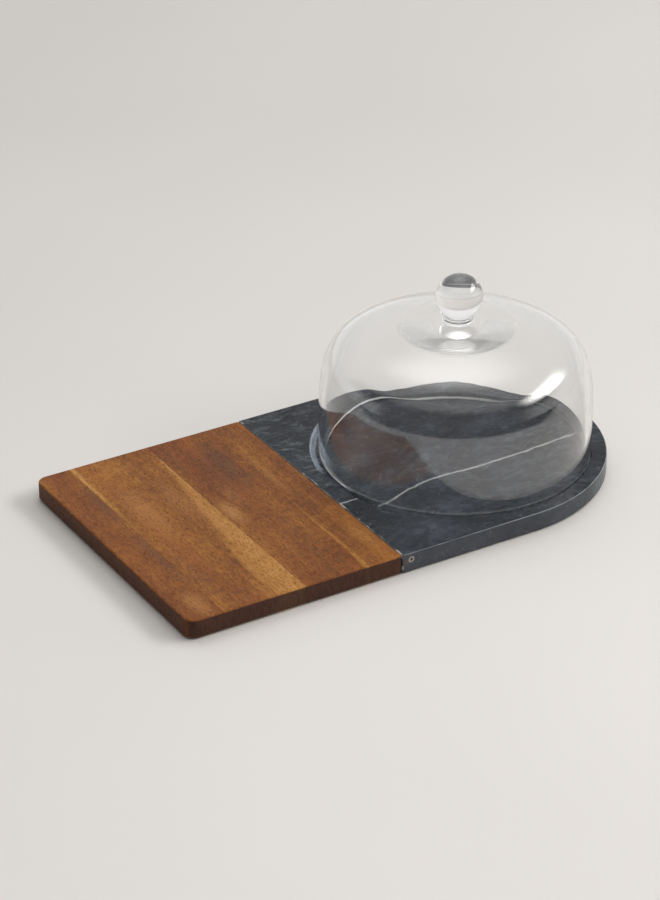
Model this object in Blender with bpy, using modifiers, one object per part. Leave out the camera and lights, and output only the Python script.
"""Cheese dome: a glass bell with a solid ball knob, standing in a round pocket
in a serving board made of an edge-glued wood panel joined to a marble slab.

Metres, +Z up. +X runs from the wood towards the marble's round end. The
origin is the centre of the board's outline, on the plane its feet stand on.
"""

import math

import bmesh
import bpy
from mathutils import Matrix

MM = 0.001

# ---- board ---------------------------------------------------------------
BOARD_WIDTH = 250.0 * MM
BOARD_THICKNESS = 15.0 * MM
MARBLE_LENGTH = 250.0 * MM
WOOD_LENGTH = 185.0 * MM
FOOT_HEIGHT = 1.5 * MM
FOOT_RADIUS = 5.0 * MM
FOOT_ARRIS = 0.3 * MM
FOOT_SIDES = 32
# clearance that keeps a piece separate from the one it rests on
REST_GAP = 0.3 * MM

HALF_WIDTH = BOARD_WIDTH / 2
BOARD_BOTTOM = FOOT_HEIGHT + REST_GAP
BOARD_TOP = BOARD_BOTTOM + BOARD_THICKNESS
BOARD_MIDDLE = (BOARD_BOTTOM + BOARD_TOP) / 2
JOINT_X = (WOOD_LENGTH - MARBLE_LENGTH) / 2
JOINT_GAP = 0.3 * MM
# the round end is a half circle as wide as the board
ROUND_END_RADIUS = HALF_WIDTH
ROUND_END_X = JOINT_X + MARBLE_LENGTH - ROUND_END_RADIUS

# pairs of feet: x from the joint, distance of each foot from the centre line
FOOT_PAIRS = (
    (-170.0 * MM, 108.0 * MM),
    (160.0 * MM, 88.0 * MM),
)

# ---- wood panel ----------------------------------------------------------
# distances of the glue lines from the wood-to-marble joint
GLUE_LINES = (155.0 * MM, 85.0 * MM, 28.5 * MM)
GLUE_GAP = 0.2 * MM
WOOD_OUTER_CORNER = 9.0 * MM
WOOD_JOINT_CORNER = 3.0 * MM
WOOD_ARRIS = 1.5 * MM
# how far the blocks that divide the panel reach past it
BLOCK_END_MARGIN = 10.0 * MM
BLOCK_SIDE_MARGIN = 20.0 * MM

# ---- marble slab ---------------------------------------------------------
MARBLE_ARRIS = 0.7 * MM
MARBLE_CORNER = 1.0 * MM
ROUND_END_STEPS = 72
POCKET_RADIUS = 112.9 * MM
POCKET_DEPTH = 3.0 * MM
POCKET_ARRIS = 0.5 * MM
POCKET_FILLET = 1.0 * MM
POCKET_CUTTER_RISE = 5.0 * MM
POCKET_SIDES = 96

# ---- hidden dowels -------------------------------------------------------
DOWEL_RADIUS = 3.0 * MM
DOWEL_LENGTH = 50.0 * MM
DOWEL_SPACING = 140.0 * MM
DOWEL_GLUE_FILM = 0.3 * MM
DOWEL_ARRIS = 0.5 * MM
DOWEL_SIDES = 24

# ---- glass bell; heights are above the board's top face -------------------
# the bell has slid to one side of its pocket
BELL_SHIFT_X = 2.6 * MM
BELL_SHIFT_Y = -1.6 * MM
BELL_RADIUS = 109.3 * MM
# glass thickness at the upright wall, half way round the shoulder, at the crown
BELL_WALL = 5.0 * MM
BELL_SHOULDER_WALL = 5.2 * MM
BELL_CROWN_WALL = 6.3 * MM
SHOULDER_TILT = 45.0
# the rim is fire-polished: two round corners with a narrow flat between them
BELL_RIM_CORNER = 2.3 * MM
BELL_RIM_HEIGHT = REST_GAP - POCKET_DEPTH
# wall and shoulder follow a superellipse, with a domed crown added on top
BELL_SHOULDER_START = 4.5 * MM
BELL_SHOULDER_HEIGHT = 98.5 * MM
BELL_SHOULDER_POWER = 5.2
BELL_CROWN_RISE = 11.5 * MM
BELL_INNER_CROWN_RISE = 11.4 * MM
BELL_CROWN_RADIUS = 95.0 * MM
# under the knob the inside is flat, where the glass is gathered thicker
BELL_FLAT_RADIUS = 46.0 * MM
BELL_SEAT_RADIUS = 12.6 * MM
BELL_SIDES = 64

# radii of the outer crown points, then where the shoulder points take over
CROWN_RADII_MM = (20.0, 28.0, 36.0, 44.0, 52.0, 60.0, 68.0, 75.0, 80.5)
OUTER_SHOULDER_RADIUS = 82.5 * MM
OUTER_STEPS = 22
# the inside is worked out finely, then thinned to these least spacings
INNER_STEPS = 1200
INNER_SHOULDER_LOW = 70.0 * MM
INNER_SHOULDER_SPACING = 4.6 * MM
INNER_WALL_HIGH = 66.0 * MM
INNER_WALL_SPACING = 20.0 * MM

# ---- glass knob; heights are above the board's top face --------------------
KNOB_RADIUS = 18.8 * MM
KNOB_CENTRE_HEIGHT = 133.4 * MM
KNOB_NECK_RADIUS = 11.7 * MM
KNOB_NECK_HEIGHT = 115.4 * MM
KNOB_BEAD_RADIUS = 1.05 * KNOB_NECK_RADIUS
KNOB_FOOT_RADIUS = 1.04 * KNOB_NECK_RADIUS
UPPER_CREASE_DROP = 1.2 * MM
LOWER_CREASE_RISE = 0.4 * MM
KNOB_BALL_STEPS = 16
KNOB_SIDES = 48

# ---- mesh settings -------------------------------------------------------
PLATE_MERGE = 1e-6
TURN_MERGE = 0.01 * MM
BEVEL_ANGLE = math.radians(50.0)
SHARP_ANGLE = math.radians(35.0)


# ---- helpers -------------------------------------------------------------


def clear_scene():
    for obj in list(bpy.data.objects):
        bpy.data.objects.remove(obj, do_unlink=True)


def collection(name):
    made = bpy.data.collections.new(name)
    bpy.context.scene.collection.children.link(made)
    return made


def material(name, colour, roughness, metallic=0.0, transmission=0.0):
    mat = bpy.data.materials.new(name)
    mat.use_nodes = True
    inputs = mat.node_tree.nodes["Principled BSDF"].inputs
    inputs["Base Color"].default_value = (*colour, 1.0)
    inputs["Roughness"].default_value = roughness
    inputs["Metallic"].default_value = metallic
    inputs["Transmission Weight"].default_value = transmission
    return mat


def place(obj, where, mat=None):
    """Put an object in one collection only and give it its material."""
    for old in list(obj.users_collection):
        old.objects.unlink(obj)
    where.objects.link(obj)
    if mat is not None:
        obj.data.materials.clear()
        obj.data.materials.append(mat)
    return obj


def smooth(obj):
    mesh = obj.data
    mesh.polygons.foreach_set("use_smooth", [True] * len(mesh.polygons))
    mesh.set_sharp_from_angle(angle=SHARP_ANGLE)


def arc(centre_x, centre_y, radius, start, end, steps):
    """Points along an arc, angles in degrees, both ends included."""
    points = []
    for i in range(steps + 1):
        angle = math.radians(start + (end - start) * i / steps)
        x = centre_x + radius * math.cos(angle)
        y = centre_y + radius * math.sin(angle)
        points.append((x, y))
    return points


def filled_mesh(name, outline, thickness, where):
    """Mesh of a filled 2D curve, extruded evenly about z = 0."""
    curve = bpy.data.curves.new(name + "_outline", "CURVE")
    curve.dimensions = "2D"
    curve.fill_mode = "BOTH"
    curve.extrude = thickness / 2
    spline = curve.splines.new("POLY")
    spline.points.add(len(outline) - 1)
    for point, (x, y) in zip(spline.points, outline):
        point.co = (x, y, 0.0, 1.0)
    spline.use_cyclic_u = True
    drawn = bpy.data.objects.new(name + "_outline", curve)
    where.objects.link(drawn)
    bpy.context.view_layer.update()
    depsgraph = bpy.context.evaluated_depsgraph_get()
    mesh = bpy.data.meshes.new_from_object(drawn.evaluated_get(depsgraph))
    bpy.data.objects.remove(drawn, do_unlink=True)
    mesh.name = name
    return mesh


def board_plate(name, outline, where, mat):
    """A closed outline as a plate of the board's thickness and height."""
    mesh = filled_mesh(name, outline, BOARD_THICKNESS, where)
    # the curve leaves its caps and sides unjoined
    work = bmesh.new()
    work.from_mesh(mesh)
    bmesh.ops.remove_doubles(work, verts=work.verts, dist=PLATE_MERGE)
    bmesh.ops.recalc_face_normals(work, faces=work.faces)
    work.to_mesh(mesh)
    work.free()
    plate = bpy.data.objects.new(name, mesh)
    plate.location = (0.0, 0.0, BOARD_MIDDLE)
    return place(plate, where, mat)


def turned(name, profile, sides, where, mat=None):
    """A profile of (radius, height) points turned about the object's Z axis."""
    mesh = bpy.data.meshes.new(name)
    work = bmesh.new()
    verts = [work.verts.new((radius, 0.0, z)) for radius, z in profile]
    for pair in zip(verts, verts[1:]):
        work.edges.new(pair)
    work.to_mesh(mesh)
    work.free()
    obj = place(bpy.data.objects.new(name, mesh), where, mat)
    screw = obj.modifiers.new("turn", "SCREW")
    screw.axis = "Z"
    screw.angle = math.tau
    screw.steps = sides
    screw.render_steps = sides
    screw.use_merge_vertices = True
    screw.merge_threshold = TURN_MERGE
    screw.use_smooth_shade = True
    return obj


def edge_round(obj, width, segments):
    bevel = obj.modifiers.new("arris", "BEVEL")
    bevel.width = width
    bevel.segments = segments
    bevel.limit_method = "ANGLE"
    bevel.angle_limit = BEVEL_ANGLE


def cut(obj, cutter, operation="DIFFERENCE"):
    boolean = obj.modifiers.new(cutter.name, "BOOLEAN")
    boolean.operation = operation
    boolean.solver = "EXACT"
    boolean.object = cutter
    cutter.hide_render = True
    cutter.display_type = "WIRE"


def cylinder(name, radius, length, centre, sides, where, mat=None):
    """A cylinder along Z."""
    bpy.ops.mesh.primitive_cylinder_add(
        vertices=sides, radius=radius, depth=length, location=centre
    )
    obj = bpy.context.active_object
    obj.name = name
    obj.data.name = name
    return place(obj, where, mat)


# ---- board pieces --------------------------------------------------------


def dowel_pair(name, radius, length, where, mat=None):
    """Two cylinders along X, centred on the joint."""
    pair = []
    for i, y in enumerate((-DOWEL_SPACING / 2, DOWEL_SPACING / 2), 1):
        centre = (JOINT_X, y, BOARD_MIDDLE)
        obj = cylinder(f"{name}_{i}", radius, length, centre, DOWEL_SIDES, where, mat)
        obj.rotation_euler = (0.0, math.pi / 2, 0.0)
        pair.append(obj)
    return pair


def panel_outline():
    """Wood panel: rounded outer corners, lightly eased joint corners."""
    outer, inner = WOOD_OUTER_CORNER, WOOD_JOINT_CORNER
    outer_x = JOINT_X - WOOD_LENGTH + outer
    inner_x = JOINT_X - JOINT_GAP / 2 - inner
    return (
        arc(outer_x, -HALF_WIDTH + outer, outer, 180.0, 270.0, steps=6)
        + arc(inner_x, -HALF_WIDTH + inner, inner, 270.0, 360.0, steps=4)
        + arc(inner_x, HALF_WIDTH - inner, inner, 0.0, 90.0, steps=4)
        + arc(outer_x, HALF_WIDTH - outer, outer, 90.0, 180.0, steps=6)
    )


def stave_block(name, low, high, where):
    """Box between two x values that keeps one stave of the panel."""
    bpy.ops.mesh.primitive_cube_add(
        size=1.0, location=((low + high) / 2, 0.0, BOARD_MIDDLE)
    )
    block = bpy.context.active_object
    block.name = name
    width = BOARD_WIDTH + 2 * BLOCK_SIDE_MARGIN
    height = BOARD_THICKNESS + 2 * BLOCK_SIDE_MARGIN
    block.data.transform(Matrix.Diagonal((high - low, width, height, 1.0)))
    return place(block, where)


def wood_staves(holes, parts, cutters, mat):
    """The panel divided at its glue lines, from the outer end to the joint."""
    edges = [
        JOINT_X - WOOD_LENGTH - BLOCK_END_MARGIN,
        *(JOINT_X - distance for distance in GLUE_LINES),
        JOINT_X + BLOCK_END_MARGIN,
    ]
    outline = panel_outline()
    for i, (low, high) in enumerate(zip(edges, edges[1:]), 1):
        stave = board_plate(f"wood_stave_{i}", outline, parts, mat)
        edge_round(stave, WOOD_ARRIS, segments=2)
        block = stave_block(
            f"stave_block_{i}", low + GLUE_GAP / 2, high - GLUE_GAP / 2, cutters
        )
        cut(stave, block, "INTERSECT")
    # only the last stave, next to the marble, takes the dowels
    for hole in holes:
        cut(stave, hole)


def marble_outline():
    """Straight sides running into a half circle at the +X end."""
    corner = MARBLE_CORNER
    corner_x = JOINT_X + JOINT_GAP / 2 + corner
    corner_y = HALF_WIDTH - corner
    return (
        arc(corner_x, corner_y, corner, 90.0, 180.0, steps=3)
        + arc(corner_x, -corner_y, corner, 180.0, 270.0, steps=3)
        + arc(ROUND_END_X, 0.0, ROUND_END_RADIUS, -90.0, 90.0, ROUND_END_STEPS)
    )


def pocket_cutter(where):
    """Pocket with an eased mouth and a filleted floor, open above the board."""
    mouth = POCKET_RADIUS + POCKET_ARRIS
    fillet = POCKET_FILLET
    profile = [
        (0.0, POCKET_CUTTER_RISE),
        (mouth + POCKET_CUTTER_RISE, POCKET_CUTTER_RISE),
        (mouth, 0.0),
        (POCKET_RADIUS, -POCKET_ARRIS),
        *arc(POCKET_RADIUS - fillet, fillet - POCKET_DEPTH, fillet, 0.0, -90.0, steps=3),
        (0.0, -POCKET_DEPTH),
    ]
    pocket = turned("round_pocket", profile, POCKET_SIDES, where)
    pocket.location = (ROUND_END_X, 0.0, BOARD_TOP)
    return pocket


def marble_slab(holes, parts, cutters, mat):
    slab = board_plate("marble_slab", marble_outline(), parts, mat)
    edge_round(slab, MARBLE_ARRIS, segments=2)
    for cutter in (*holes, pocket_cutter(cutters)):
        cut(slab, cutter)


def dowel_pins(where, mat):
    for pin in dowel_pair("dowel_pin", DOWEL_RADIUS, DOWEL_LENGTH, where, mat):
        edge_round(pin, DOWEL_ARRIS, segments=1)
        smooth(pin)


def feet(where, mat):
    centres = [(x, side * y) for x, y in FOOT_PAIRS for side in (-1, 1)]
    for i, (x, y) in enumerate(centres, 1):
        centre = (JOINT_X + x, y, FOOT_HEIGHT / 2)
        foot = cylinder(
            f"bumper_foot_{i}", FOOT_RADIUS, FOOT_HEIGHT, centre, FOOT_SIDES, where, mat
        )
        edge_round(foot, FOOT_ARRIS, segments=2)
        smooth(foot)


# ---- bell and knob -------------------------------------------------------


def crown_rise(radius, rise):
    """Extra height of the domed crown at a radius."""
    if radius >= BELL_CROWN_RADIUS:
        return 0.0
    return rise * (1 - (radius / BELL_CROWN_RADIUS) ** 2) ** 2


def outer_height(radius):
    """Height of the bell's outer top surface at a radius."""
    power = BELL_SHOULDER_POWER
    level = (1 - (radius / BELL_RADIUS) ** power) ** (1 / power)
    shoulder = BELL_SHOULDER_START + BELL_SHOULDER_HEIGHT * level
    return shoulder + crown_rise(radius, BELL_CROWN_RISE)


def bell_line(rise, steps):
    """Crown, shoulder and wall, from the axis down to the wall's foot."""
    power = 2 / BELL_SHOULDER_POWER
    points = []
    for i in range(steps + 1):
        angle = math.pi / 2 * (1 - i / steps)
        radius = BELL_RADIUS * math.cos(angle) ** power
        z = BELL_SHOULDER_START + BELL_SHOULDER_HEIGHT * math.sin(angle) ** power
        points.append((radius, z + crown_rise(radius, rise)))
    return points


def glass_thickness(tilt):
    """Thickness where the surface leans back by a tilt in degrees."""
    if tilt < SHOULDER_TILT:
        return BELL_WALL + (BELL_SHOULDER_WALL - BELL_WALL) * tilt / SHOULDER_TILT
    share = (tilt - SHOULDER_TILT) / (90.0 - SHOULDER_TILT)
    return BELL_SHOULDER_WALL + (BELL_CROWN_WALL - BELL_SHOULDER_WALL) * share


def inner_line():
    """The bell's inside, offset square to a bell line, from crown to foot."""
    outside = bell_line(BELL_INNER_CROWN_RISE, INNER_STEPS)
    inside = []
    for before, here, after in zip(outside, outside[1:], outside[2:]):
        run = after[0] - before[0]
        drop = before[1] - after[1]
        length = math.hypot(run, drop)
        thickness = glass_thickness(math.degrees(math.atan2(run, drop)))
        radius = here[0] - thickness * drop / length
        z = here[1] - thickness * run / length
        inside.append((radius, z))
    return inside


def spaced(points, step):
    """Every point of a line that lies at least a step from the one kept last."""
    kept = [points[0]]
    for point in points[1:]:
        if math.dist(point, kept[-1]) >= step:
            kept.append(point)
    return kept


def bell_profile():
    """One line from the axis over the outside, round the rim and up inside."""
    seat = outer_height(BELL_SEAT_RADIUS)
    points = [(0.0, seat), (BELL_SEAT_RADIUS, seat)]
    points += [(size * MM, outer_height(size * MM)) for size in CROWN_RADII_MM]
    outside = bell_line(BELL_CROWN_RISE, OUTER_STEPS)
    points += [point for point in outside if point[0] > OUTER_SHOULDER_RADIUS]

    corner = BELL_RIM_CORNER
    level = BELL_RIM_HEIGHT + corner
    inner_radius = BELL_RADIUS - BELL_WALL
    points += arc(BELL_RADIUS - corner, level, corner, 0.0, -90.0, steps=3)
    points += arc(inner_radius + corner, level, corner, -90.0, -180.0, steps=3)

    inside = [point for point in inner_line() if point[0] > BELL_FLAT_RADIUS]
    shoulder = spaced(
        [point for point in inside if point[1] > INNER_SHOULDER_LOW],
        INNER_SHOULDER_SPACING,
    )
    wall = spaced(
        [point for point in inside if point[1] < INNER_WALL_HIGH],
        INNER_WALL_SPACING,
    )
    # the wall's foot stands in for its lowest kept point
    points.append((inner_radius, BELL_SHOULDER_START))
    points += reversed(wall[:-1])
    points += reversed(shoulder)
    points.append((0.0, shoulder[0][1]))
    return points


def knob_profile():
    """Ball and neck bead, from the top of the axis down."""
    ball_end = math.pi - math.asin(KNOB_NECK_RADIUS / KNOB_RADIUS)
    points = []
    for i in range(KNOB_BALL_STEPS + 1):
        angle = ball_end * i / KNOB_BALL_STEPS
        radius = KNOB_RADIUS * math.sin(angle)
        z = KNOB_CENTRE_HEIGHT + KNOB_RADIUS * math.cos(angle)
        points.append((radius, z))
    neck_top = points[-1][1]
    foot = outer_height(BELL_SEAT_RADIUS) + REST_GAP
    # a shallow bead between two creases, over a foot just clear of the crown
    points += [
        (KNOB_NECK_RADIUS, neck_top - UPPER_CREASE_DROP),
        (KNOB_BEAD_RADIUS, (neck_top + KNOB_NECK_HEIGHT) / 2),
        (KNOB_NECK_RADIUS, KNOB_NECK_HEIGHT + LOWER_CREASE_RISE),
        (KNOB_FOOT_RADIUS, foot),
        (0.0, foot),
    ]
    return points


def dome(where, mat):
    """Bell and knob, on an empty that stands on the lift axis."""
    axis = bpy.data.objects.new("dome_lift_axis", None)
    axis.location = (ROUND_END_X + BELL_SHIFT_X, BELL_SHIFT_Y, BOARD_TOP)
    where.objects.link(axis)
    bell = turned("glass_bell", bell_profile(), BELL_SIDES, where, mat)
    bell.parent = axis
    knob = turned("glass_knob", knob_profile(), KNOB_SIDES, where, mat)
    knob.parent = axis


# ---- build ---------------------------------------------------------------


def build():
    clear_scene()
    parts = collection("cheese_dome")
    cutters = collection("cutters")

    wood = material("acacia", colour=(0.21, 0.09, 0.038), roughness=0.5)
    stone = material("dark_marble", colour=(0.045, 0.052, 0.058), roughness=0.3)
    steel = material("steel", colour=(0.55, 0.55, 0.56), roughness=0.35, metallic=1.0)
    silicone = material("silicone", colour=(0.75, 0.75, 0.73), roughness=0.5)
    glass = material(
        "clear_glass", colour=(0.95, 0.97, 0.96), roughness=0.02, transmission=1.0
    )

    # shared by the slab and the stave next to it
    holes = dowel_pair(
        "dowel_hole",
        DOWEL_RADIUS + DOWEL_GLUE_FILM,
        DOWEL_LENGTH + 2 * DOWEL_GLUE_FILM,
        cutters,
    )
    wood_staves(holes, parts, cutters, wood)
    marble_slab(holes, parts, cutters, stone)
    dowel_pins(parts, steel)
    feet(parts, silicone)
    dome(parts, glass)


build()
